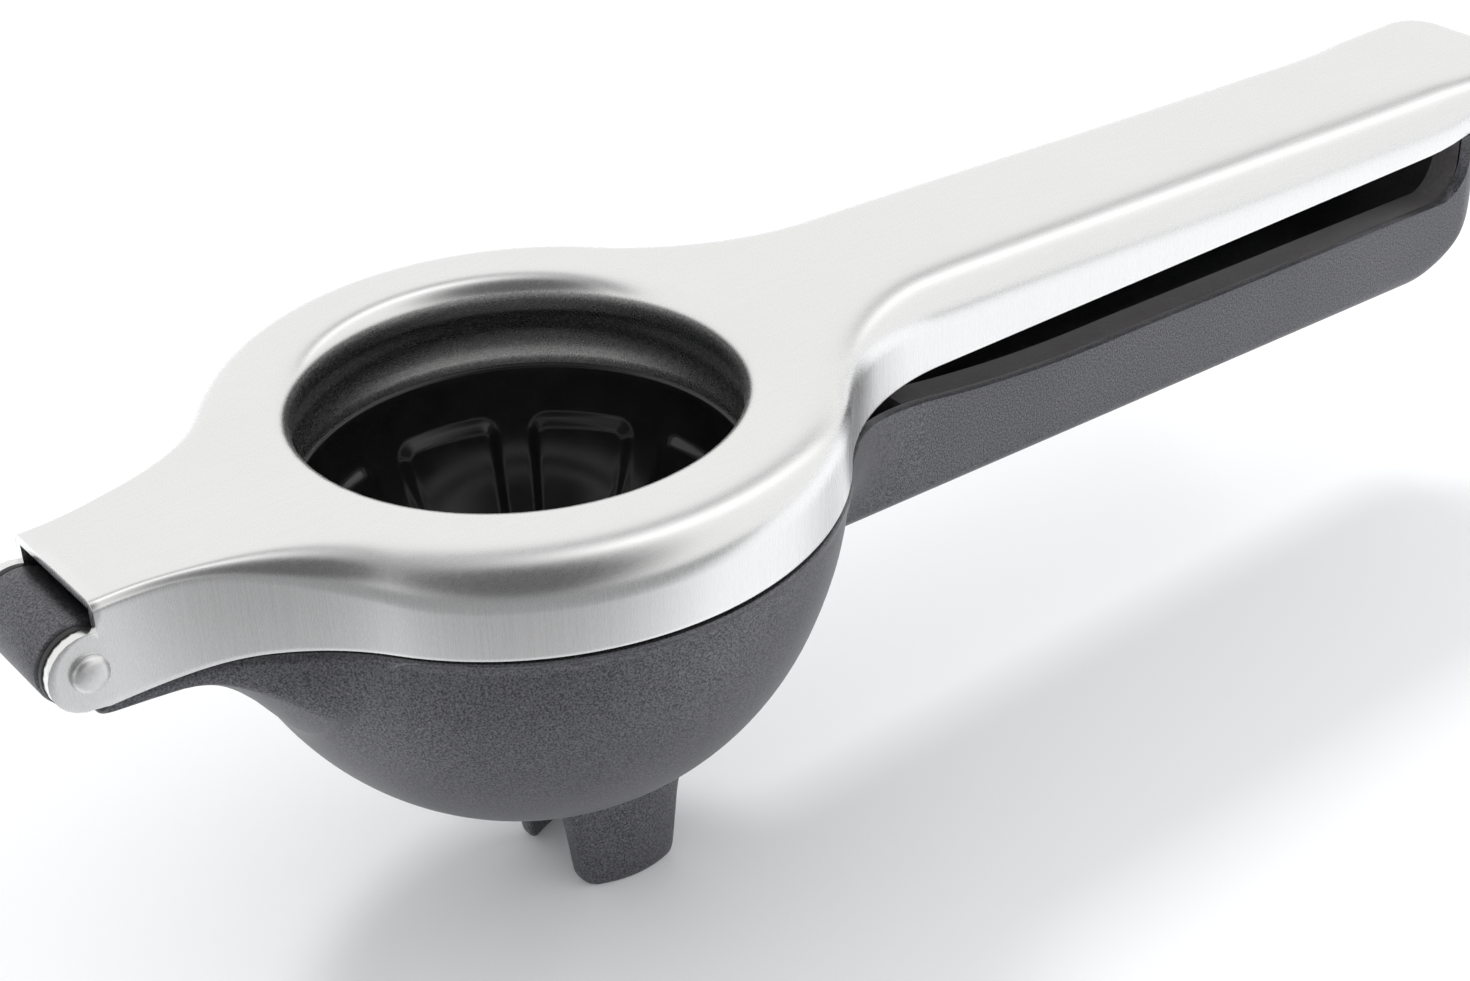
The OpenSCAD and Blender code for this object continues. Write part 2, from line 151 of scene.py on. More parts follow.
def round_edges(bm, size, angle):
    """Rounds the edges that are sharper than the angle by a small radius."""
    limit = math.radians(angle)
    sharp = [e for e in bm.edges if len(e.link_faces) == 2 and e.calc_face_angle(0) > limit]
    bmesh.ops.bevel(
        bm, geom=sharp, offset=size, offset_type="OFFSET", segments=2, profile=0.5,
        affect="EDGES", clamp_overlap=True, material=-1,
    )


def close_up(bm, gap=0.002):
    """Joins seams and poles and turns all faces outward."""
    bmesh.ops.remove_doubles(bm, verts=bm.verts[:], dist=gap)
    bmesh.ops.dissolve_degenerate(bm, dist=gap / 4, edges=bm.edges[:])
    bmesh.ops.recalc_face_normals(bm, faces=bm.faces[:])


def cap_rim(bm, at_end):
    """Closes the open rim whose points all pass the test."""
    ends = [e for e in bm.edges if e.is_boundary and all(at_end(v) for v in e.verts)]
    bmesh.ops.contextual_create(bm, geom=ends)


def finished(bm, name, matrix, body, material, nodes):
    """Makes the piece from its mesh, in the resting frame, riding on its body."""
    bmesh.ops.transform(bm, matrix=matrix, verts=bm.verts[:])
    for f in bm.faces:
        f.smooth = True
    mesh = bpy.data.meshes.new(name)
    bm.to_mesh(mesh)
    bm.free()
    piece = bpy.data.objects.new(name, mesh)
    bpy.context.scene.collection.objects.link(piece)
    mesh.materials.append(material)
    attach(piece, body)
    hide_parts(*nodes)
    return piece


# ---------------- plan outline


def root_centre(half_width, blend):
    """Centre of the plan curve that joins the head to a part of that half-width."""
    y = half_width + blend
    return math.sqrt((HEAD_R + blend) ** 2 - y * y), y


def arc_points(cx, cy, r, start, end, step, side):
    """Points (x, y, normal x, normal y) along an arc; side is 1 where it bulges outward."""
    count = max(2, round(abs(math.radians(end - start)) * r / step))
    points = []
    for i in range(count + 1):
        a = math.radians(start + (end - start) * i / count)
        c, s = math.cos(a), math.sin(a)
        points.append((cx + r * c, cy + r * s, side * c, side * s))
    return points


def straight_points(a, b, normal, step):
    """The same along a straight line from a to b."""
    count = max(1, round(math.dist(a, b) / step))
    points = []
    for i in range(count + 1):
        x, y = (p + (q - p) * i / count for p, q in zip(a, b))
        points.append((x, y, *normal))
    return points


def half_outline(far_end):
    """The outline from the hinge end, round the head, to the handle's end, or to its root."""
    step = 1.3
    nx, ny = root_centre(NECK_W, NECK_BLEND_R)
    gx, gy = root_centre(GRIP_W, GRIP_BLEND_R)
    neck_az = math.degrees(math.atan2(ny, nx))
    grip_az = math.degrees(math.atan2(gy, gx))
    run = straight_points((-NECK_END, NECK_W), (-nx, NECK_W), (0, 1), step)
    run += arc_points(-nx, ny, NECK_BLEND_R, -90, -neck_az, step, -1)[1:]
    run += arc_points(0, 0, HEAD_R, 180 - neck_az, grip_az, step, 1)[1:]
    run += arc_points(gx, gy, GRIP_BLEND_R, 180 + grip_az, 270, step, -1)[1:]
    if far_end is None:
        return run
    corner = far_end - GRIP_CORNER_R
    inner = GRIP_W - GRIP_CORNER_R
    run += straight_points((gx, GRIP_W), (corner, GRIP_W), (0, 1), 2 * step)[1:]
    run += arc_points(corner, inner, GRIP_CORNER_R, 90, 0, step / 2, 1)[1:]
    run += straight_points((far_end, inner), (far_end, 0), (1, 0), step)[1:]
    return run


def whole_outline(far_end):
    """The outline of both sides, from the hinge end and back to it."""
    half = half_outline(far_end)
    mirrored = [(x, -y, nx, -ny) for x, y, nx, ny in reversed(half)]
    return half + mirrored[1:]


# ---------------- steel shell

GRIP_X = root_centre(GRIP_W, GRIP_BLEND_R)[0]
KNEE = GRIP_X + 2.0
FAR_END = KNEE + GRIP_L
BEND_SPAN = 9.0
FILLET_STEPS = 10
TOP_MARGIN = 0.4
NOTCH_ROWS = 2
NOTCH_SHARE = 0.212
WALL_SHARES = [0, 0.04] + [NOTCH_SHARE + (1 - NOTCH_SHARE) * k / 14 for k in range(15)]


def droop_at(s):
    """Angle, place and height of the steel's centre line at distance s along it."""
    full = math.radians(DROOP)
    start, end = KNEE - BEND_SPAN, KNEE + BEND_SPAN
    if s <= start:
        return 0.0, s, 0.0
    x, z, at, angle = start, 0.0, start, 0.0
    steps = 24
    reach = min(s, end)
    for k in range(steps):
        ds = (reach - start) / steps
        angle = blend_value(0, full, (at + ds / 2 - start) / (end - start))
        x += ds * math.cos(angle)
        z -= ds * math.sin(angle)
        at += ds
    if s > end:
        angle = full
        x += (s - end) * math.cos(full)
        z -= (s - end) * math.sin(full)
    return angle, x, z


def bent_down(p):
    """Carries a point of the flat layout onto the drooping steel."""
    angle, x, z = droop_at(p[0])
    return Vector((x + p[2] * math.sin(angle), p[1], z + p[2] * math.cos(angle)))


def neck_dip(x):
    """How much lower the steel's edge runs near the hinge, down to the ear's foot."""
    return blend_value(0.75, 0.0, (x + 56) / 14)


def hem_height(x):
    """Height of the steel's lower edge, with the sweep near the handle's end."""
    if x <= GRIP_X:
        return -SKIRT_H - neck_dip(x)
    z = -SKIRT_H - math.tan(math.radians(HEM_DROOP)) * (x - GRIP_X)
    over = x - GRIP_X - (GRIP_L + 2 - SWEEP_L)
    if over <= 0:
        return z
    turned_in = min(over, SWEEP_RUN)
    z = z + SWEEP_R - math.sqrt(SWEEP_R * SWEEP_R - turned_in * turned_in)
    if over < SWEEP_RUN:
        return z
    return z + SWEEP_H * (over - SWEEP_RUN) / (SWEEP_L - SWEEP_RUN)


def top_fillet(x):
    """Radius of the rounded top edge: tight at the hinge, wide on the head and handle."""
    near = blend_value(1.3, 6.0, (x + 51.0) / 24)
    root = 0.8 * math.exp(-(((x - 34.0) / 14.0) ** 2))
    widening = blend_value(0, 1.0, (x - 35) / 25)
    along_grip = blend_value(0, 0.8, (x - 60) / 60)
    _, cx, cz = droop_at(x)
    return min(near - root + widening + along_grip, cz - hem_height(cx) - 1.0)


def hinge_ears(bm, grid, count, rows):
    """Draws the ends of the two skirts out into round ears about the pin."""
    notch = FILLET_STEPS + 1 + NOTCH_ROWS
    top = math.degrees(math.acos((PIN_X + NECK_END) / -EAR_R))
    steps = 6
    for i in (0, count):
        side = 1 if i == 0 else -1
        column = [grid[i, j] for j in range(notch, rows + 1)]
        start = [v.co.copy() for v in column]
        edge = [bm.edges.get((a, b)) for a, b in zip(column, column[1:])]
        for k in range(1, steps + 1):
            made = bmesh.ops.extrude_edge_only(bm, edges=edge)["geom"]
            fresh = [g for g in made if isinstance(g, bmesh.types.BMVert)]
            order = [
                next(w for w in fresh if any(e.other_vert(v) == w for e in v.link_edges))
                for v in column
            ]
            for n, v in enumerate(order):
                share = n / (len(order) - 1)
                a = math.radians(top + (270 - top) * share)
                rim = Vector((EAR_R * math.cos(a), 0, EAR_R * math.sin(a)))
                rim += Vector((PIN_X, side * NECK_W, PIN_Z))
                v.co = start[n].lerp(rim, k / steps)
            column = order
            edge = [bm.edges.get((a, b)) for a, b in zip(column, column[1:])]


def steel_shell(material):
    """The pressed sheet: skirts with ears, flat top, and a drawn collar round the opening."""
    bm = bmesh.new()
    outline = whole_outline(FAR_END)
    count = len(outline) - 1
    rows = FILLET_STEPS + len(WALL_SHARES)

    def section(i, j):
        x, y, nx, ny = outline[i]
        r = top_fillet(x)
        if j == 0:
            inset = r + TOP_MARGIN
            return x - nx * inset, y - ny * inset, 0
        if j <= FILLET_STEPS + 1:
            a = math.radians(90) * (j - 1) / FILLET_STEPS
            inset = r * (1 - math.sin(a))
            return x - nx * inset, y - ny * inset, -r * (1 - math.cos(a))
        angle, cx, cz = droop_at(x)
        hem = (hem_height(cx) - cz) / math.cos(angle)
        share = WALL_SHARES[j - FILLET_STEPS - 1]
        return x, y, -r + (hem + r) * share

    grid = bent_grid(bm, count, rows, section)
    hinge_ears(bm, grid, count, rows)

    def across_top(i, pieces):
        """Points across the flat top from the outline's point i to its mirror."""
        a, b = section(i, 0), section(count - i, 0)
        return [
            tuple(p + (q - p) * k / pieces for p, q in zip(a, b)) for k in range(pieces + 1)
        ]

    middle = count // 2
    head_reach = 35
    neck_cut = max(i for i in range(middle) if section(i, 0)[0] < -head_reach)
    grip_cut = min(i for i in range(middle) if section(i, 0)[0] > head_reach)
    wide, narrow = 14, 6
    grip_end = middle - wide // 2
    bent_grid(bm, grip_end - grip_cut, wide, lambda i, j: across_top(grip_cut + i, wide)[j])
    bent_grid(bm, neck_cut, narrow, lambda i, j: across_top(i, narrow)[j])

    loop = [section(i, 0) for i in range(neck_cut, grip_cut)]
    loop += across_top(grip_cut, wide)[:-1]
    loop += [section(i, 0) for i in range(count - grip_cut, count - neck_cut)]
    loop += across_top(neck_cut, narrow)[::-1]
    mouth_edge = THROAT_R + MOUTH_R + 0.5
    top_rows, bend_rows = 3, 9
    first = top_rows + 1
    collar = [
        (26.42, -4.4), (26.72, -5.2), (27.12, -6.0), (27.55, -6.8), (27.9, -7.6), (28.12, -8.4),
        (28.2, -9.2), (28.16, -10.0), (28.0, -10.9), (27.78, -11.8), (27.5, -COLLAR_H),
    ]

    def mouth(i, j):
        x, y, _ = loop[i]
        out = math.hypot(x, y)
        if j <= top_rows:
            r, z = out + (mouth_edge - out) * j / top_rows, 0.0
        elif j <= first + bend_rows:
            t = math.radians(90) * (j - first) / bend_rows
            r = THROAT_R + MOUTH_R * (1 - math.sin(t))
            z = -MOUTH_R * (1 - math.cos(t))
        else:
            r, z = collar[j - first - bend_rows - 1]
        return r * x / out, r * y / out, z

    bent_grid(bm, len(loop) - 1, first + bend_rows + len(collar), mouth)
    for v in bm.verts:
        v.co = bent_down(v.co)
    close_up(bm)
    probe = max(bm.faces, key=lambda f: f.calc_area())
    if probe.normal.z < 0:
        bmesh.ops.reverse_faces(bm, faces=bm.faces[:])
    bmesh.ops.solidify(bm, geom=bm.faces[:], thickness=SHEET)
    bmesh.ops.recalc_face_normals(bm, faces=bm.faces[:])
    round_edges(bm, 0.22, 55)
    finished(bm, "steel_shell", swung_open(), "upper", material, ["upper_shell"])


# ---------------- press cup


def panel_rise(az, el):
    """How far the cup's wall stands in at an azimuth and slope below its centre."""
    step = 360 / PANELS
    off = abs((az + step / 2) % step - step / 2)
    across = math.radians(off - PANEL_HALF) * CUP_R * math.cos(math.radians(el))
    middle = (PANEL_TOP + PANEL_LOW) / 2
    along = math.radians(abs(el - middle) - (PANEL_LOW - PANEL_TOP) / 2) * CUP_R
    corner, slope = 2.6, 1.7
    qx, qy = across + corner, along + corner
    inside = min(max(qx, qy), 0)
    away = math.hypot(max(qx, 0), max(qy, 0)) + inside - corner
    return PANEL_RISE * blend_value(1, 0, (away + 1.5) / slope)


def press_cup(material):
    """The domed cup with raised panels inside and the sleeve that clasps the collar."""
    bm = bmesh.new()
    outer = CUP_R + CUP_WALL
    base = -COLLAR_H - CUP_WALL - 0.13
    sleeve_top = -SHEET - 1.8
    top_el = math.degrees(math.asin((-base - CUP_Z - 0.1) / outer))
    profile = []
    for k in range(21):
        el = math.radians(90 - (90 - top_el) * k / 20)
        profile.append((outer * math.cos(el), -CUP_Z - 0.1 - outer * math.sin(el), None))
    profile += [
        (SLEEVE_OUT - 0.4, base, None),
        (SLEEVE_OUT - 0.1, base + 0.1, None),
        (SLEEVE_OUT, base + 0.4, None),
        (SLEEVE_OUT, sleeve_top, None),
        (SLEEVE_OUT - 0.3, -SHEET - 1.5, None),
        (SLEEVE_IN + 0.3, -SHEET - 1.5, None),
        (SLEEVE_IN, sleeve_top, None),
        (SLEEVE_IN, -COLLAR_H - 0.03, None),
        (CUP_R + 0.5, -COLLAR_H - 0.03, None),
        (CUP_R + 0.1, -COLLAR_H - 0.13, None),
        (CUP_R, -COLLAR_H - 0.5, None),
    ]
    levels = 84
    for k in range(levels + 1):
        profile.append((None, None, 1.0 + 89.0 * k / levels))
    turns = PANELS * 44

    def section(i, j):
        az = 360 * i / turns
        a = math.radians(az)
        r, z, el = profile[j]
        if el is not None:
            size = CUP_R - panel_rise(az, el)
            r = size * math.cos(math.radians(el))
            z = -CUP_Z - size * math.sin(math.radians(el))
        return r * math.cos(a), r * math.sin(a), z

    bent_grid(bm, turns, len(profile) - 1, section)
    close_up(bm, 0.0005)
    finished(bm, "press_cup_body", swung_open(), "upper", material, ["press_cup"])


# ---------------- cast bowl and neck


def soft_max(a, b, k):
    """The larger of two depths, with a smooth fillet where they meet."""
    h = max(k - abs(a - b), 0) / k
    return max(a, b) + h * h * k / 4


def bowl_depth(r, radius, depth):
    """Depth of a bowl of that radius and depth, at r from its axis."""
    share = min(1.0, r / radius)
    return depth * (1 - share**BOWL_FULL) ** (1 / BOWL_FULL)


def neck_trim(d):
    """Small lift of the neck's underside between the hinge and the bowl."""
    return 0.3 * math.exp(-(((d - 47.0) / 6.0) ** 2))


def neck_depth(x, y):
    """Depth of the neck's underside below the rim."""
    if x > 0:
        return 0
    d = -x
    past = NECK_KNEE - d
    if past < 0:
        z = 2.35 + (NECK_END - d) * 0.14
    else:
        z = 3.51 + past * 0.2 + past**2 * 0.0475
    side = max(0.0, abs(y) - 4.5)
    return max(0, -soft_max(neck_trim(d) - z, -NECK_CAP, 2.5) - side * side * 0.05)


def hull_depth(x, y, edge):
    """Depth of the casting's outside below its rim; edge is the distance in from its outline."""
    r = math.hypot(x, y)
    sunk = neck_dip(x)
    depth = bowl_depth(r, BOWL_R, BOWL_H)
    depth = soft_max(depth, neck_depth(x, y), 3.0)
    depth = max(depth, 0.75 + sunk)
    near = min(1.0, edge / 1.2)
    return sunk + (depth - sunk) * (1 - (1 - near) ** 2.6) ** (1 / 2.6)


def set_back(depth):
    """How far the bowl's wall lies towards the hinge at a depth below its rim."""
    return BOWL_BACK * blend_value(0, 1, depth / 16)


def cast_bowl(bm):
    """The bowl and the neck's underside as one skin, outside and inside, joined at the rim."""
    outline = half_outline(None)
    half = [(HEEL_X, 8.5), (HEEL_X + 0.15, 8.95), (HEEL_X + 0.6, 9.15)]
    half += [(x, y) for x, y, _, _ in outline if x < 29.5]
    ring = half + [
        (HEAD_R * math.cos(math.radians(a)), HEAD_R * math.sin(math.radians(a)))
        for a in range(40, 0, -2)
    ]
    ring += [(HEAD_R, 0.0)]
    ring += [(x, -y) for x, y in reversed(ring[:-1])]
    ring += [(HEEL_X, -8.5 + 17.0 * k / 8) for k in range(1, 9)]
    outer_rows, wall_rows, inner_rows = 16, 44, 26
    start = BOWL_R - 0.6
    total = outer_rows + wall_rows + 4 + inner_rows

    def section(i, j):
        x, y = ring[i]
        out = math.hypot(x, y)
        cx, cy = x / out, y / out
        if j <= wall_rows + outer_rows:
            if j < wall_rows:
                r = start * math.sin(math.radians(90) * j / wall_rows)
                edge = out - r
            else:
                edge = (out - start) * (1 - (j - wall_rows) / outer_rows) ** 2.3
                r = out - edge
            depth = hull_depth(r * cx, r * cy, edge)
            return r * cx - set_back(depth), r * cy, -RIM_Z - depth
        k = j - wall_rows - outer_rows
        if k == 1:
            r = out - 0.35
            return r * cx, r * cy, -RIM_Z + 0.1 - neck_dip(r * cx)
        if k == 2:
            return (BOWL_IN + 0.9) * cx, (BOWL_IN + 0.9) * cy, -RIM_Z + 0.1
        if k == 3:
            return (BOWL_IN + 0.25) * cx, (BOWL_IN + 0.25) * cy, -RIM_Z
        a = math.radians(90) * (1 - (k - 4) / inner_rows)
        r = (BOWL_IN - 0.02) * math.sin(a)
        depth = bowl_depth(r, BOWL_IN, BOWL_H - BOWL_WALL)
        return r * cx - set_back(depth), r * cy, -RIM_Z - depth

    bent_grid(bm, len(ring) - 1, total, section)


def cut_slots(bm):
    """Opens the three drain slots through the bowl's bottom."""
    x0, x1 = SLOT_MID - SLOT_REACH, SLOT_MID + SLOT_REACH
    a0, a1 = x0 + SLOT_END, x1 - SLOT_END
    planes = [((x, 0, 0), (1, 0, 0)) for x in (x0, a0, a1, x1)]
    planes += [((0, y, 0), (0, 1, 0)) for span in SLOT_SPANS for y in span]
    for co, no in planes:
        near = [
            f for f in bm.faces if all(v.co.z < SLOT_ZONE and v.co.xy.length < 24 for v in f.verts)
        ]
        geom = near + list({e for f in near for e in f.edges})
        geom += list({v for f in near for v in f.verts})
        bmesh.ops.bisect_plane(bm, geom=geom, dist=1e-4, plane_co=co, plane_no=no)

    def within(y, margin):
        return any(a + margin < y < b - margin for a, b in SLOT_SPANS)

    gone = []
    for f in bm.faces:
        c = f.calc_center_median()
        if c.z < SLOT_ZONE and x0 < c.x < x1 and within(c.y, 0):
            if a0 <= c.x <= a1 or within(c.y, 0.3):
                gone.append(f)
    bmesh.ops.delete(bm, geom=gone, context="FACES")
    for a, b in SLOT_SPANS:
        loops = [
            e
            for e in bm.edges
            if e.is_boundary
            and all(a - 0.01 < v.co.y < b + 0.01 and v.co.z < SLOT_ZONE for v in e.verts)
        ]
        bmesh.ops.bridge_loops(bm, edges=loops)


# ---------------- cast handle


def low_rim(x, drop=0.0):
    """Height of the lower handle's top edge."""
    x0 = BOWL_R - 0.65
    z1 = -LOW_TOP - LOW_SLOPE * DIP_X
    if x < DIP_X:
        t = max(0.0, (x - x0) / (DIP_X - x0))
        return z1 + (-RIM_Z + 0.1 - z1) * (1 - t) ** 2 - drop
    corner = DIP_END - DIP_R
    if x <= corner:
        return -LOW_TOP - LOW_SLOPE * x - drop
    flat = -LOW_TOP - LOW_SLOPE * corner
    if x < DIP_END:
        return flat + DIP_R - math.sqrt(max(0, DIP_R**2 - (x - corner) ** 2)) - drop
    return hem_height(x) + (x - PIN_X) * 0.0122 - 0.25 - drop


def low_under(x, lift=0.0):
    """Height of the lower handle's underside."""
    turn = LOW_END - LOW_END_R
    z = -LOW_BASE - LOW_SLOPE * min(x, turn)
    r = LOW_END_R - lift
    if x > turn:
        z += r - math.sqrt(max(0, r * r - (x - turn) ** 2))
    return z + lift


def low_half_width(x, inset=0.0):
    """Half-width of the lower handle at its top edge."""
    gx, gy = root_centre(LOW_HALF, GRIP_BLEND_R)
    w = LOW_HALF
    if x < ROOT_X + ROOT_SPAN:
        r = 38.1 + 0.9 * (x - ROOT_X) / ROOT_SPAN
        w = math.sqrt(r * r - x * x)
    elif x < gx:
        w = gy - math.sqrt(max(0, GRIP_BLEND_R**2 - (gx - x) ** 2))
    corner = 7.0
    start = LOW_END - corner
    if x > start:
        r = corner - inset
        return LOW_HALF - corner + math.sqrt(max(0, r * r - (x - start) ** 2))
    return w - inset


def wall_half_width(x, z, inset):
    """The same at a height: the flare of the root fades out towards the foot of the wall."""
    w = low_half_width(x, inset)
    plain = LOW_HALF - inset
    if w <= plain:
        return w
    return plain + (w - plain) * blend_value(0, 1, (z + 27.5) / 12)


def clear_of_cavity(x, y, z):
    """A point of the handle's root, moved out of the bowl's hollow and into its wall."""
    sunk = (-RIM_Z - z) / (BOWL_H - BOWL_WALL)
    if x > BOWL_IN + 2 or sunk >= 1:
        return x, y, z
    hollow = BOWL_IN * (1 - max(0.0, sunk) ** BOWL_FULL) ** (1 / BOWL_FULL) + 1.3
    back = set_back(-RIM_Z - z)
    r = math.hypot(x + back, y)
    if r >= hollow:
        return x, y, z
    return (x + back) * hollow / r - back, y * hollow / r, z


def cast_handle(bm):
    """The channel of the lower handle, open at the top, with rounded lower edges."""
    turn, corner = LOW_END - LOW_END_R, DIP_END - DIP_R
    stations = [ROOT_X + k for k in range(32)]
    stations += [59 + k * 2.2 for k in range(41)]
    stations += [turn + LOW_END_R * math.sin(math.radians(90) * k / 22) for k in range(23)]
    stations += [corner + DIP_R * math.sin(math.radians(90) * k / 9) for k in range(1, 9)]
    stations += [DIP_END - 0.01, DIP_END + 0.01]
    stations = sorted(stations)
    across = 32
    wall_points, edge_points = 7, 6
    flat_from = wall_points + edge_points
    squeeze = 140

    def ring(x, inset, j):
        """Point j of the section, from one top edge round the underside to the other."""
        w = low_half_width(x, inset)
        top, low = low_rim(x), low_under(x, inset)
        top = max(top, low + 0.02)
        r = max(0.0, min(LOW_EDGE_R - inset * 0.7, (top - low) * 0.8, w * 0.8))
        side = -1 if j <= across / 2 else 1
        k = j if side < 0 else across - j
        if k <= wall_points:
            share = (0, 0.05, 0.2, 0.36, 0.52, 0.68, 0.84, 1.0)[k]
            z = top + (low + r - top) * share
            return x, side * wall_half_width(x, z, inset), z
        if k <= flat_from:
            a = math.radians(90) * (k - wall_points) / edge_points
            z = low + r - r * math.sin(a)
            return x, side * (wall_half_width(x, z, inset) - r + r * math.cos(a)), z
        share = (k - flat_from) / (across / 2 - flat_from)
        return x, side * (wall_half_width(x, low, inset) - r) * (1 - share), low

    def outer(i, j):
        return clear_of_cavity(*ring(stations[i], 0, j))

    def inner(i, j):
        x = stations[i]
        reach = LOW_END - LOW_WALL
        if x > squeeze:
            x = squeeze + (x - squeeze) * (reach - squeeze) / (LOW_END - squeeze)
        p = ring(x, LOW_WALL, j)
        shift = low_rim(stations[i]) - low_rim(x)
        return clear_of_cavity(p[0], p[1], p[2] + (shift if j in (0, across) else 0))

    count = len(stations) - 1
    a = bent_grid(bm, count, across, outer)
    b = bent_grid(bm, count, across, inner)

    def bridge(line):
        """Joins the outer and the inner skin along a line of grid points."""
        steps = list(zip(line, line[1:]))
        loops = [bm.edges.get((grid[p], grid[q])) for grid in (a, b) for p, q in steps]
        bmesh.ops.bridge_loops(bm, edges=loops)

    for j in (0, across):
        bridge([(i, j) for i in range(count + 1)])
    for i in (0, count):
        bridge([(i, j) for j in range(across + 1)])
    bmesh.ops.recalc_face_normals(bm, faces=bm.faces[:])


def lug_ring(left, right, wide, corner):
    """Plan points of one lug: a bar with round corners, laid along x from left to right."""
    middle, half = (left + right) / 2, (right - left) / 2
    points = []
    for sx, sy, start in ((1, 1, 0), (-1, 1, 90), (-1, -1, 180), (1, -1, 270)):
        for k in range(6):
            a = math.radians(start + 90 * k / 5)
            x = middle + sx * (half - corner) + corner * math.cos(a)
            points.append((x, sy * (wide / 2 - corner) + corner * math.sin(a)))
        if sx * sy > 0:
            x0, x1 = middle + sx * (half - corner), middle - sx * (half - corner)
            y = sy * wide / 2
            points += [(x0 + (x1 - x0) * k / 10, y) for k in range(1, 10)]
    return points + points[:1]


def rest_lug(bm, side):
    """One of the two bowed lugs that the squeezer rests on, flared into the bowl."""
    levels = [
        (-71.0, 1.5, 0.5), (-70.93, 1.0, 0.3), (-70.7, 0.55, 0.14), (-70.3, 0.25, 0.04),
        (-69.7, 0.06, 0), (-69.0, 0, 0),
    ]
    levels += [(-69.0 + 1.25 * k, 0, 0) for k in range(1, 9)]
    for k in range(10):
        out = k / 9
        levels.append((LUG_ROOT + LUG_FLARE * k / 9, -1.9 * out**2.2, -1.5 * out**2.6))
    count = len(lug_ring(0, 10, 3, 1)) - 1

    def section(i, j):
        z, ends, faces = levels[j]
        up = min(max(0.0, z + LIFT) / (LUG_ROOT + LIFT), 1)
        left = LUG_LEFT - 1.2 * up + ends
        right = LUG_RIGHT + 1.9 * up - ends * 0.7
        wide = LUG_T + 0.8 * up - 2 * faces
        x, y = lug_ring(left, right, wide, min(0.95, wide * 0.32))[i]
        bow = 7.2 + 0.123 * (x + 0.3) + 1.6 * (1 - min(1.6, ((x - 6.2) / 6.5) ** 2)) - 1.45
        y = bow + 0.25 * up + y
        if z > LUG_ROOT:
            skin = 0.7 - RIM_Z - bowl_depth(math.hypot(x, y), BOWL_R, BOWL_H)
            z = LUG_ROOT + (skin - LUG_ROOT) * (z - LUG_ROOT) / LUG_FLARE
        return x, side * y, z

    grid = bent_grid(bm, count, len(levels) - 1, section)
    bmesh.ops.remove_doubles(bm, verts=list(grid.values()), dist=0.001)
    for j in (0, len(levels) - 1):
        rim = {grid[i, j] for i in range(count) if grid[i, j].is_valid}
        cap_rim(bm, lambda v: v in rim)


def neck_block(bm):
    """The cast tongue between the steel ears, with its round barrel."""
    side = []
    r = BARREL_R
    for k in range(0, 41):
        a = math.radians(58 + (286 - 58) * k / 40)
        side.append((PIN_X + r * math.cos(a), PIN_Z + r * math.sin(a)))
    side += [(-58.0, -13.3), (-54.0, -13.6), (-46.0, -13.7), (-37.6, -13.8)]
    side += [(-37.2, -12.4), (-37.2, -6.2), (-37.9, -5.55), (-46.0, -5.5)]
    side += [(-54.0, -5.2), (-56.6, -4.7)]
    widths = [-6.95, -6.85, -6.5, -3.0, 0.0, 3.0, 6.5, 6.85, 6.95]
    pull = [0.5, 0.15, 0, 0, 0, 0, 0, 0.15, 0.5]
    count = len(side)

    def section(i, j):
        x, z = side[i % count]
        px, pz = side[(i - 1) % count]
        qx, qz = side[(i + 1) % count]
        tx, tz = qx - px, qz - pz
        size = math.hypot(tx, tz) or 1.0
        nx, nz = -tz / size, tx / size
        return x + nx * pull[j], widths[j], z + nz * pull[j]

    grid = bent_grid(bm, count, len(widths) - 1, section)
    bmesh.ops.remove_doubles(bm, verts=list(grid.values()), dist=0.0005)
    for y in (widths[0], widths[-1]):
        cap_rim(bm, lambda v: abs(v.co.y - y) < 1e-4)


def cast_arm(material):
    """The whole casting: bowl with slots, handle channel, neck block and both lugs."""
    bm = bmesh.new()
    cast_bowl(bm)
    bmesh.ops.remove_doubles(bm, verts=bm.verts[:], dist=0.002)
    cut_slots(bm)
    close_up(bm, 0.0004)
    bmesh.ops.holes_fill(bm, edges=[e for e in bm.edges if e.is_boundary], sides=8)
    for build, extra in ((cast_handle, ()), (neck_block, ()), (rest_lug, (-1,)), (rest_lug, (1,))):
        other = bmesh.new()
        build(other, *extra)
        close_up(other, 0.0008)
        if build is cast_handle:
            round_edges(other, 0.18, 50)
        mesh = bpy.data.meshes.new("cast_part")
        other.to_mesh(mesh)
        other.free()
        bm.from_mesh(mesh)
        bpy.data.meshes.remove(mesh)
    finished(bm, "cast_arm", down_to_floor(), "lower", material, ["lower_arm"])


# ---------------- handle liner


def liner_top(x):
    """Height of the liner's strip, just below the casting's edge, turning up at the end."""
    corner = DIP_END - DIP_R
    if x <= corner:
        return low_rim(x, 0.4)
    reach = DIP_R - 1.0
    if x < corner + reach:
        u = (x - corner) / reach
        return low_rim(corner) + DIP_R - (DIP_R + 0.4) * math.sqrt(max(0.0, 1 - u * u))
    return low_rim(DIP_END + 1.0, 0.45)


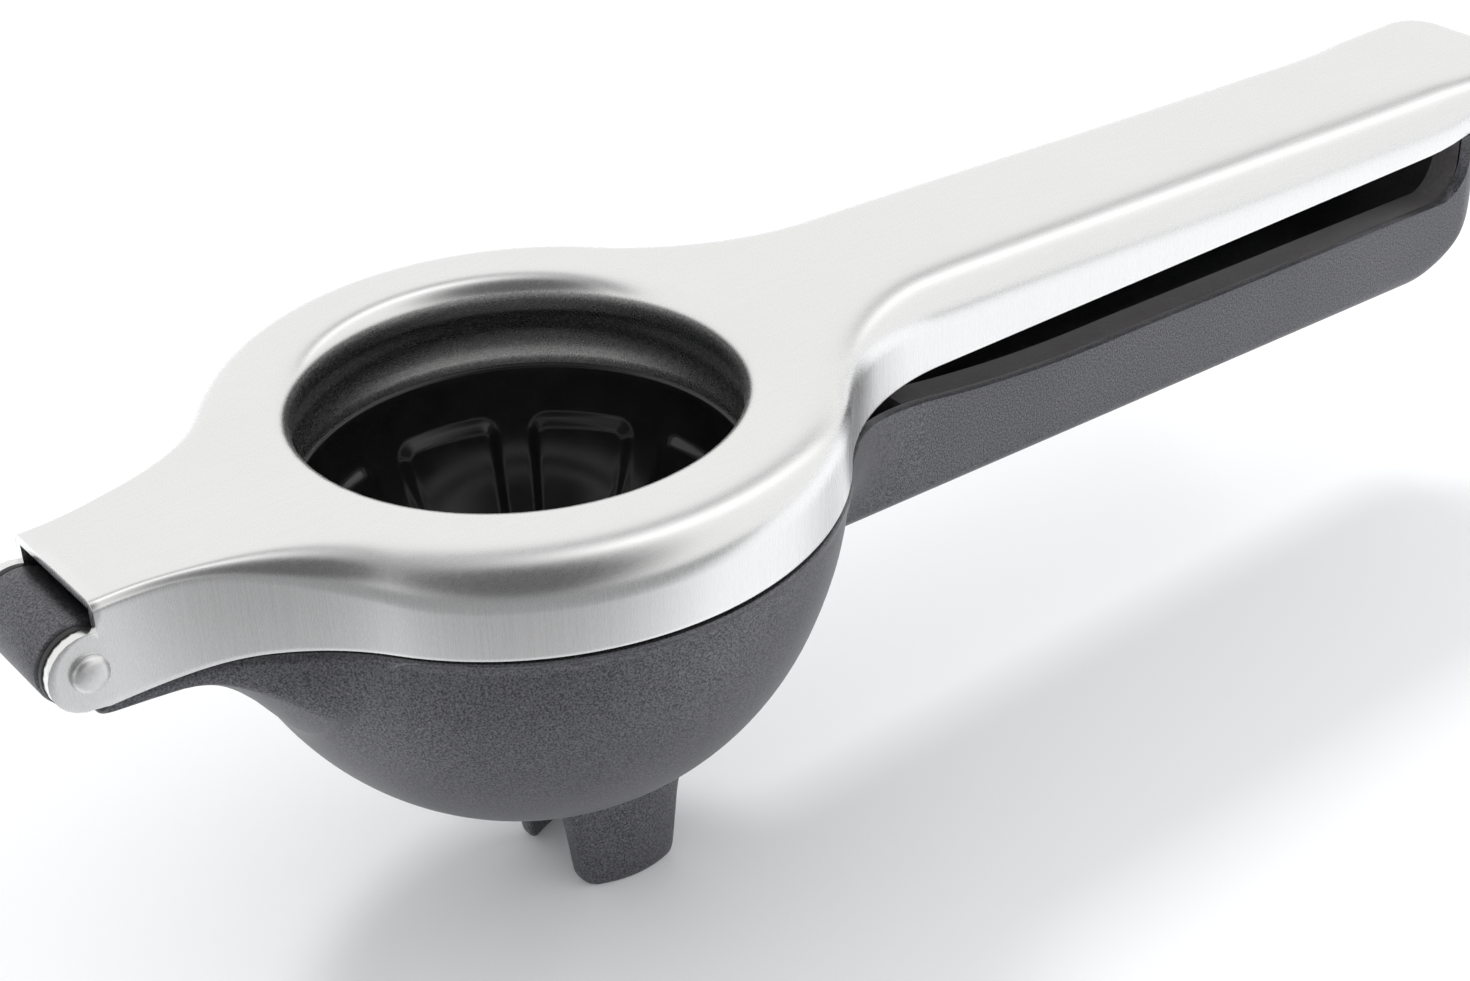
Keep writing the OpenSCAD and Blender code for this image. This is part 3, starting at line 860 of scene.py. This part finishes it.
def grip_liner(strip, pocket):
    """The liner: a strip along each wall and a deep pocket between them, whose inside takes a
    near-black material as painted shade.
    """
    bm = bmesh.new()
    gap, strip_wide, groove = 0.1, 4.5, 0.35
    w = LOW_HALF - LOW_WALL - gap
    inner = w - strip_wide
    corner, reach = DIP_END - DIP_R, DIP_R - 1.0
    start, end = 48.1, LOW_END - LOW_WALL - gap
    pocket_a, pocket_b = 52.6, LOW_END - LOW_WALL - 3.0
    stations = [start, start + 1.5, pocket_a - 0.01, pocket_a]
    stations += [54 + k * 2.5 for k in range(40)]
    stations += [corner + reach * math.sin(math.radians(90) * k / 12) for k in range(12)]
    stations += [corner + DIP_R - 1.0 - 0.01, corner + DIP_R - 1.0 + 0.01]
    stations += [pocket_b - 0.5, pocket_b - 0.01, pocket_b, pocket_b + 1.2, end - 0.6, end]
    stations = sorted(x for x in stations if x <= end)

    def section(i, j):
        x = stations[i]
        top = liner_top(x)
        low = min(low_under(x, LOW_WALL + 0.7), top - 0.1)
        half = min(w, low_half_width(min(x + 1.3, LOW_END), LOW_WALL + gap) if x > 150 else w)
        half = max(half, 4.0)
        rib = min(inner, half - 1.0)
        floor = max(low + 1.6, -31.0) if pocket_a <= x < pocket_b else top
        floor = min(floor, top)
        points = [
            (-half, low), (-half, top - 0.5), (-half + groove, top), (-rib, top), (-rib, floor),
            (rib, floor), (rib, top), (half - groove, top), (half, top - 0.5), (half, low),
            (-half, low),
        ]
        y, z = points[j]
        return x, y, z

    count = len(stations) - 1
    bent_grid(bm, count, 10, section)
    bmesh.ops.remove_doubles(bm, verts=bm.verts[:], dist=0.0005)
    for x in (stations[0], stations[-1]):
        cap_rim(bm, lambda v: abs(v.co.x - x) < 1e-4)
    close_up(bm, 0.003)
    round_edges(bm, 0.25, 50)
    # Faces inside the pocket take the second material, near black: painted shade for the shade the
    # steel handle casts into the pocket.
    for f in bm.faces:
        c = f.calc_center_median()
        inside = abs(c.y) < inner + 0.05 and pocket_a - 0.1 < c.x < pocket_b + 0.1
        f.material_index = 1 if inside and c.z < liner_top(c.x) - groove else 0
    piece = finished(bm, "grip_liner", down_to_floor(), "lower", strip, ["handle_liner"])
    piece.data.materials.append(pocket)


# ---------------- pin and washers


def turned(bm, profile, turns=64):
    """A turned piece round the pin's axis: profile gives (radius, y) points."""

    def section(i, j):
        a = math.radians(360) * i / turns
        r, y = profile[j]
        return PIN_X + r * math.cos(a), y, PIN_Z + r * math.sin(a)

    bent_grid(bm, turns, len(profile) - 1, section)
    close_up(bm, 0.0004)


def rivet(material):
    """The pin with a domed head at each end."""
    bm = bmesh.new()
    side = NECK_W
    cap = [
        (2.2, 0.0), (2.2, 0.28), (2.15, 0.5), (2.02, 0.72), (1.8, 0.9),
        (1.5, 1.03), (1.1, 1.12), (0.55, 1.18), (0.0, 1.2),
    ]
    profile = [(r, -side - y) for r, y in reversed(cap)]
    profile += [(PIN_R, -side), (PIN_R, side)]
    profile += [(r, side + y) for r, y in cap]
    turned(bm, profile)
    finished(bm, "rivet", swung_open(), "upper", material, ["hinge_pin"])


def washer(name, side, node, material):
    """The ring between the barrel and one ear."""
    bm = bmesh.new()
    a, b = 7.0, 7.95
    loop = [
        (1.75, a), (1.75, b), (4.6, b), (4.72, b - 0.05), (4.75, b - 0.18),
        (4.75, a + 0.18), (4.72, a + 0.05), (4.6, a), (1.75, a),
    ]
    turned(bm, [(r, side * y) for r, y in loop])
    finished(bm, name, swung_open(), "upper", material, [node])


# ---------------- surface effects


def value_group(name, output):
    """A node group that turns a place into one value: the group, its place and its end."""
    group = bpy.data.node_groups.new(name, "ShaderNodeTree")
    group.interface.new_socket("Vector", in_out="INPUT", socket_type="NodeSocketVector")
    group.interface.new_socket(output, in_out="OUTPUT", socket_type="NodeSocketFloat")
    start = group.nodes.new("NodeGroupInput")
    end = group.nodes.new("NodeGroupOutput")
    return group, start.outputs["Vector"], end.inputs[output]


def math_node(tree, operation, a, b=None, clamp=False):
    node = tree.nodes.new("ShaderNodeMath")
    node.operation = operation
    node.use_clamp = clamp
    for i, value in enumerate((a, b)):
        if value is None:
            continue
        if isinstance(value, (int, float)):
            node.inputs[i].default_value = value
        else:
            tree.links.new(value, node.inputs[i])
    return node.outputs[0]


def times(tree, a, b, clamp=False):
    return math_node(tree, "MULTIPLY", a, b, clamp)


def vector_node(tree, operation, source, *values):
    """A step on a vector, with set values for what else it takes; gives the node."""
    node = tree.nodes.new("ShaderNodeVectorMath")
    node.operation = operation
    tree.links.new(source, node.inputs[0])
    for i, value in enumerate(values):
        node.inputs[i + 1].default_value = value
    return node


def ramp_node(tree, source, low, high, to_low=0.0, to_high=1.0):
    node = tree.nodes.new("ShaderNodeMapRange")
    tree.links.new(source, node.inputs["Value"])
    node.inputs["From Min"].default_value = low
    node.inputs["From Max"].default_value = high
    node.inputs["To Min"].default_value = to_low
    node.inputs["To Max"].default_value = to_high
    return node.outputs["Result"]


def noise_node(tree, vector, scale, detail, rough):
    node = tree.nodes.new("ShaderNodeTexNoise")
    tree.links.new(vector, node.inputs["Vector"])
    node.inputs["Scale"].default_value = scale
    node.inputs["Detail"].default_value = detail
    node.inputs["Roughness"].default_value = rough
    return node.outputs["Fac"]


def stretched(tree, vector, scale, turn=(0, 0, 0)):
    """Places turned and stretched, for a noise with a direction."""
    node = tree.nodes.new("ShaderNodeMapping")
    node.inputs["Rotation"].default_value = turn
    node.inputs["Scale"].default_value = scale
    tree.links.new(vector, node.inputs["Vector"])
    return node.outputs["Vector"]


def make_edge_wear_and_highlight():
    """Mask of worn outer edges, which also lightens them as a painted highlight of their small
    roundings.
    """
    group, place, end = value_group("edge_wear_and_highlight", "WornAndHighlit")
    shape = group.nodes.new("ShaderNodeNewGeometry")
    edge = ramp_node(group, shape.outputs["Pointiness"], 0.52, 0.62)
    broken = ramp_node(group, noise_node(group, place, 160, 4, 0.6), 0.35, 0.7)
    group.links.new(times(group, edge, broken, True), end)
    return group


def make_fine_scratches():
    """Mask of thin scratches of use in two directions."""
    group, place, end = value_group("fine_scratches", "Scratch")
    lines = []
    for turn, scale in ((0.5, (60, 1400, 60)), (-0.9, (1200, 70, 80))):
        along = stretched(group, place, scale, (0.2, 0.1, turn))
        lines.append(ramp_node(group, noise_node(group, along, 1, 2, 0.4), 0.72, 0.8))
    found = math_node(group, "MAXIMUM", *lines)
    group.links.new(times(group, found, 1.0, True), end)
    return group


EDGE_WEAR_AND_HIGHLIGHT = make_edge_wear_and_highlight()
FINE_SCRATCHES = make_fine_scratches()


def use_group(tree, group, vector):
    """The value of a node group at a place."""
    node = tree.nodes.new("ShaderNodeGroup")
    node.node_tree = group
    tree.links.new(vector, node.inputs["Vector"])
    return node.outputs[0]


def new_material(name):
    """A material with its node tree, its shader and the places on the piece."""
    material = bpy.data.materials.new(name)
    material.use_nodes = True
    tree = material.node_tree
    shader = tree.nodes["Principled BSDF"]
    coords = tree.nodes.new("ShaderNodeTexCoord")
    return material, tree, shader, coords.outputs["Object"]


def grey(level):
    return (level, level, level)


def mix_colour(tree, factor, a, b):
    """Colour a where the factor is 0 and b where it is 1."""
    node = tree.nodes.new("ShaderNodeMix")
    node.data_type = "RGBA"
    tree.links.new(factor, node.inputs["Factor"])
    for socket, value in ((node.inputs[6], a), (node.inputs[7], b)):
        if isinstance(value, tuple):
            socket.default_value = (*value, 1)
        else:
            tree.links.new(value, socket)
    return node.outputs[2]


def bump_node(tree, height, strength, distance):
    node = tree.nodes.new("ShaderNodeBump")
    node.inputs["Strength"].default_value = strength
    node.inputs["Distance"].default_value = distance
    tree.links.new(height, node.inputs["Height"])
    return node.outputs["Normal"]


def worn_and_highlit_edges(tree, coords, base, share, colour):
    """A base colour with a lighter one on the outer edges: wear, and a painted highlight of the
    small rounded edges.
    """
    edge_wear_and_glint = use_group(tree, EDGE_WEAR_AND_HIGHLIGHT, coords)
    return mix_colour(tree, times(tree, edge_wear_and_glint, share), base, colour)


def scratched(tree, coords, rough, share):
    """A roughness that is higher along the scratches of use."""
    scratch = use_group(tree, FINE_SCRATCHES, coords)
    return math_node(tree, "ADD", rough, times(tree, scratch, share))


def set_surface(tree, shader, base, rough, normal, metallic=0.0):
    tree.links.new(base, shader.inputs["Base Color"])
    tree.links.new(rough, shader.inputs["Roughness"])
    tree.links.new(normal, shader.inputs["Normal"])
    shader.inputs["Metallic"].default_value = metallic


def brushed_steel():
    """Satin stainless sheet: upright brush lines on the skirts, a fine grain on top."""
    material, tree, shader, coords = new_material("brushed_steel_satin")
    shape = tree.nodes.new("ShaderNodeNewGeometry")
    split = tree.nodes.new("ShaderNodeSeparateXYZ")
    tree.links.new(shape.outputs["Normal"], split.inputs[0])
    slope = math_node(tree, "ABSOLUTE", split.outputs["Z"])
    flat = vector_node(tree, "MULTIPLY_ADD", coords, (1, 1, 0), (MID_X * MM, 0, 0))
    reach = vector_node(tree, "LENGTH", flat.outputs[0])
    outside = ramp_node(tree, reach.outputs["Value"], 0.030, 0.034)
    wall = times(tree, ramp_node(tree, slope, 0.45, 0.15), outside)
    upright = noise_node(tree, stretched(tree, coords, (4200, 4200, 45)), 1, 3, 0.65)
    lengthwise = noise_node(tree, stretched(tree, coords, (150, 2600, 2600)), 1, 2, 0.5)
    grain = noise_node(tree, coords, 2400, 2, 0.6)
    top = math_node(tree, "ADD", times(tree, lengthwise, 0.6), times(tree, grain, 0.4))
    mix = tree.nodes.new("ShaderNodeMix")
    tree.links.new(wall, mix.inputs["Factor"])
    tree.links.new(top, mix.inputs[2])
    tree.links.new(upright, mix.inputs[3])
    lines = mix.outputs[0]
    cloud = noise_node(tree, coords, 45, 3, 0.5)
    pale = (0.88, 0.88, 0.875)
    plain = mix_colour(tree, ramp_node(tree, top, 0.35, 0.65), (0.855, 0.855, 0.85), pale)
    brushed = mix_colour(tree, ramp_node(tree, upright, 0.3, 0.7), grey(0.825), pale)
    tint = mix_colour(tree, wall, plain, brushed)
    tint = mix_colour(tree, ramp_node(tree, cloud, 0.35, 0.7, 0, 0.3), tint, (0.82, 0.82, 0.815))
    # Lighter outer edges: wear, and a painted highlight along the sheet's rounded edges.
    tint = worn_and_highlit_edges(tree, coords, tint, 0.5, (0.95, 0.95, 0.94))
    rough = scratched(tree, coords, ramp_node(tree, lines, 0.3, 0.7, 0.25, 0.30), 0.04)
    set_surface(tree, shader, tint, rough, bump_node(tree, lines, 0.003, 0.0002), 1.0)
    return material


def speckled_casting():
    """Dark grey coated casting with a fine metallic speckle."""
    material, tree, shader, coords = new_material("speckled_grey_coat")
    grain = noise_node(tree, coords, 4200, 2, 0.6)
    coarse = noise_node(tree, coords, 2400, 3, 0.6)
    cloud = noise_node(tree, coords, 60, 3, 0.5)
    dark, light = (0.055, 0.055, 0.061), (0.22, 0.22, 0.235)
    base = mix_colour(tree, ramp_node(tree, grain, 0.35, 0.68), dark, light)
    base = mix_colour(tree, ramp_node(tree, coarse, 0.6, 0.72, 0, 0.5), base, (0.26, 0.26, 0.275))
    base = mix_colour(tree, ramp_node(tree, cloud, 0.3, 0.7, 0, 0.2), base, (0.06, 0.06, 0.066))
    # Lighter outer edges: wear of the coat, and a painted highlight along the small rounded edges.
    base = worn_and_highlit_edges(tree, coords, base, 0.7, (0.34, 0.34, 0.35))
    rough = scratched(tree, coords, ramp_node(tree, grain, 0.3, 0.7, 0.36, 0.48), 0.06)
    set_surface(tree, shader, base, rough, bump_node(tree, grain, 0.12, 0.0002), 0.85)
    return material


def gloss_black():
    """Glossy black moulded plastic."""
    material, tree, shader, coords = new_material("gloss_black_moulded")
    cloud = noise_node(tree, coords, 220, 4, 0.6)
    base = mix_colour(tree, ramp_node(tree, cloud, 0.3, 0.7), (0.006, 0.006, 0.0065), grey(0.012))
    # Lighter outer edges: wear, and a painted highlight along the rounded edges.
    base = worn_and_highlit_edges(tree, coords, base, 0.3, grey(0.04))
    rough = scratched(tree, coords, ramp_node(tree, cloud, 0.3, 0.7, 0.14, 0.2), 0.08)
    set_surface(tree, shader, base, rough, bump_node(tree, cloud, 0.03, 0.0003))
    return material


def matte_black(name, dark, light, rough_low, rough_high, grain_scale):
    """Matte moulded plastic with a fine grain."""
    material, tree, shader, coords = new_material(name)
    grain = noise_node(tree, coords, grain_scale, 3, 0.6)
    cloud = noise_node(tree, coords, 90, 2, 0.5)
    base = mix_colour(tree, ramp_node(tree, grain, 0.3, 0.7), dark, light)
    base = mix_colour(tree, ramp_node(tree, cloud, 0.35, 0.7, 0, 0.3), base, dark)
    # Lighter outer edges: wear, and a painted highlight that draws thin light lines on the small
    # rounded edges.
    base = worn_and_highlit_edges(tree, coords, base, 0.7, tuple(c * 2.2 for c in light))
    rough = ramp_node(tree, grain, 0.3, 0.7, rough_low, rough_high)
    set_surface(tree, shader, base, rough, bump_node(tree, grain, 0.15, 0.0002))
    return material


def polished_pin():
    """Bright rivet steel with turning marks."""
    material, tree, shader, coords = new_material("bright_rivet_steel")
    place = tree.nodes.new("ShaderNodeMapping")
    place.inputs["Location"].default_value = ((MID_X - PIN_X) * MM, 0, -(PIN_Z + LIFT) * MM)
    tree.links.new(coords, place.inputs["Vector"])
    parts = tree.nodes.new("ShaderNodeSeparateXYZ")
    tree.links.new(place.outputs["Vector"], parts.inputs[0])
    squares = [times(tree, parts.outputs[axis], parts.outputs[axis]) for axis in "XZ"]
    radius = math_node(tree, "SQRT", math_node(tree, "ADD", *squares))
    rings = math_node(tree, "SINE", times(tree, radius, 42000))
    patch = noise_node(tree, coords, 1500, 3, 0.6)
    base = mix_colour(tree, ramp_node(tree, patch, 0.3, 0.7), grey(0.82), (0.93, 0.93, 0.92))
    rough = ramp_node(tree, patch, 0.3, 0.7, 0.36, 0.46)
    normal = bump_node(tree, times(tree, rings, patch), 0.06, 0.0001)
    set_surface(tree, shader, base, rough, normal, 1.0)
    return material


# ---------------- the object

steel = brushed_steel()
casting = speckled_casting()
black = gloss_black()
liner = matte_black("matte_liner", (0.075, 0.070, 0.071), (0.13, 0.122, 0.123), 0.45, 0.6, 1800)
# Near-black material for the liner's pocket: painted shade, not a colour the liner has.
pocket_shade_paint = matte_black("pocket_painted_shade", grey(0.0008), grey(0.002), 0.6, 0.75, 1500)
ring_black = matte_black("matte_washer", grey(0.008), grey(0.02), 0.35, 0.5, 1500)
bright = polished_pin()

steel_shell(steel)
press_cup(black)
cast_arm(casting)
grip_liner(liner, pocket_shade_paint)
rivet(bright)
washer("washer_ring_near", -1, "washer_near", ring_black)
washer("washer_ring_far", 1, "washer_far", ring_black)


# ---------------- floor, light and camera


def pale_floor():
    """A white floor whose colour, only as the steel mirrors it, is painted darker on the side of
    the camera: a painted reflection.
    """
    bm = bmesh.new()
    bmesh.ops.create_grid(bm, x_segments=1, y_segments=1, size=6)
    mesh = bpy.data.meshes.new("pale_floor")
    bm.to_mesh(mesh)
    bm.free()
    floor = bpy.data.objects.new("pale_floor", mesh)
    bpy.context.scene.collection.objects.link(floor)
    material = bpy.data.materials.new("pale_floor_paint")
    material.use_nodes = True
    shader = material.node_tree.nodes["Principled BSDF"]
    tree = material.node_tree
    place = tree.nodes.new("ShaderNodeTexCoord")
    front = vector_node(tree, "DOT_PRODUCT", place.outputs["Object"], (-0.651, -0.759, 0))
    path = tree.nodes.new("ShaderNodeLightPath")
    # Painted reflection: towards the camera the floor goes dark, but only for mirrored rays.
    dark = ramp_node(tree, front.outputs["Value"], 0.098, 0.172, 0.0, 0.72)
    dark = times(tree, dark, path.outputs["Is Glossy Ray"])
    tree.links.new(mix_colour(tree, dark, grey(0.97), grey(0.0)), shader.inputs["Base Color"])
    shader.inputs["Roughness"].default_value = 0.9
    shader.inputs["Specular IOR Level"].default_value = 0.1
    mesh.materials.append(material)


def soft_lamp(name, place, aim, size, power):
    """A lamp for the diffuse light and the shadow alone; no surface mirrors it."""
    data = bpy.data.lights.new(name, "AREA")
    data.shape = "RECTANGLE"
    data.size, data.size_y = size
    data.energy = power
    lamp = bpy.data.objects.new(name, data)
    lamp.location = place
    lamp.rotation_mode = "QUATERNION"
    lamp.rotation_quaternion = (Vector(aim) - Vector(place)).to_track_quat("-Z", "Y")
    lamp.visible_glossy = False
    bpy.context.scene.collection.objects.link(lamp)


def soft_band(tree, lean, above, centre, width):
    """Mask of a soft band overhead, with its lean from upright and its width in degrees."""
    off = math_node(tree, "SUBTRACT", lean, math.radians(centre))
    off = math_node(tree, "DIVIDE", off, math.radians(width))
    bell = math_node(tree, "EXPONENT", times(tree, times(tree, off, off), -1.0))
    return times(tree, bell, above, True)


def background(tree, colour, strength=1.0):
    node = tree.nodes.new("ShaderNodeBackground")
    node.inputs["Color"].default_value = (*colour, 1)
    node.inputs["Strength"].default_value = strength
    return node


def either(tree, factor, a, b):
    """Light a where the factor is 0 and b where it is 1."""
    node = tree.nodes.new("ShaderNodeMixShader")
    for socket, value in zip(node.inputs, (factor, a.outputs[0], b.outputs[0])):
        tree.links.new(value, socket)
    return node


def studio_world():
    """White to the camera; mirrored with a dark front side, a gap and a bright line overhead."""
    world = bpy.data.worlds.new("studio_world")
    world.use_nodes = True
    tree = world.node_tree
    tree.nodes.clear()
    out = tree.nodes.new("ShaderNodeOutputWorld")
    place = tree.nodes.new("ShaderNodeTexCoord")
    split = tree.nodes.new("ShaderNodeSeparateXYZ")
    tree.links.new(place.outputs["Generated"], split.inputs[0])
    lean = math_node(tree, "ARCTAN2", split.outputs["Y"], split.outputs["Z"])
    above = ramp_node(tree, split.outputs["Z"], 0.0, 0.3)
    gap = soft_band(tree, lean, above, 4, 9)
    mirrored = mix_colour(tree, gap, (0.95, 0.95, 0.945), (0.44, 0.44, 0.445))
    line = soft_band(tree, lean, above, -17, 6)
    mirrored = mix_colour(tree, line, mirrored, grey(1.65))
    facing = vector_node(
        tree, "DOT_PRODUCT", place.outputs["Generated"], (-0.516, -0.673, 0.529)
    )
    dark = ramp_node(tree, facing.outputs["Value"], 0.60, 0.90)
    mirrored = mix_colour(tree, dark, mirrored, (0.10, 0.10, 0.102))
    seen = background(tree, grey(1))
    mirror = background(tree, grey(1))
    tree.links.new(mirrored, mirror.inputs["Color"])
    room = background(tree, (0.97, 0.98, 1), 0.92)
    path = tree.nodes.new("ShaderNodeLightPath").outputs
    shiny = math_node(tree, "MAXIMUM", path["Is Glossy Ray"], path["Is Transmission Ray"])
    unseen = either(tree, shiny, room, mirror)
    light = either(tree, path["Is Camera Ray"], unseen, seen)
    tree.links.new(light.outputs[0], out.inputs[0])
    bpy.context.scene.world = world


def photo_camera():
    """The camera, placed and turned in the upper arm's layout."""
    data = bpy.data.cameras.new("photo_camera")
    data.lens = 62.85
    data.sensor_width = 36.0
    data.clip_start, data.clip_end = 0.01, 50
    camera = bpy.data.objects.new("photo_camera", data)
    yaw, pitch, roll = 0.654, 0.558, -0.038
    level = math.cos(pitch)
    ahead = Vector((math.sin(yaw) * level, math.cos(yaw) * level, -math.sin(pitch)))
    right = Vector((math.cos(yaw), -math.sin(yaw), 0))
    up = right.cross(ahead)
    across = right * math.cos(roll) + up * math.sin(roll)
    upward = up * math.cos(roll) - right * math.sin(roll)
    layout = swung_open()
    turn = layout.to_3x3() * (1 / MM)
    axes = Matrix((turn @ across, turn @ upward, -(turn @ ahead))).transposed()
    place = layout @ Vector((-138.67, -221.90, 146.39))
    camera.matrix_world = Matrix.Translation(place) @ axes.to_4x4()
    bpy.context.scene.collection.objects.link(camera)
    bpy.context.scene.camera = camera


pale_floor()
studio_world()
soft_lamp("back_window", (0.12, 0.62, 1.10), (0.0, 0, 0.03), (0.24, 0.24), 4.3)
soft_lamp("front_strip", (0.62, -0.43, 0.95), (0.02, 0, 0.05), (1.0, 0.16), 1.4)
photo_camera()
bpy.context.scene.view_settings.view_transform = "Standard"
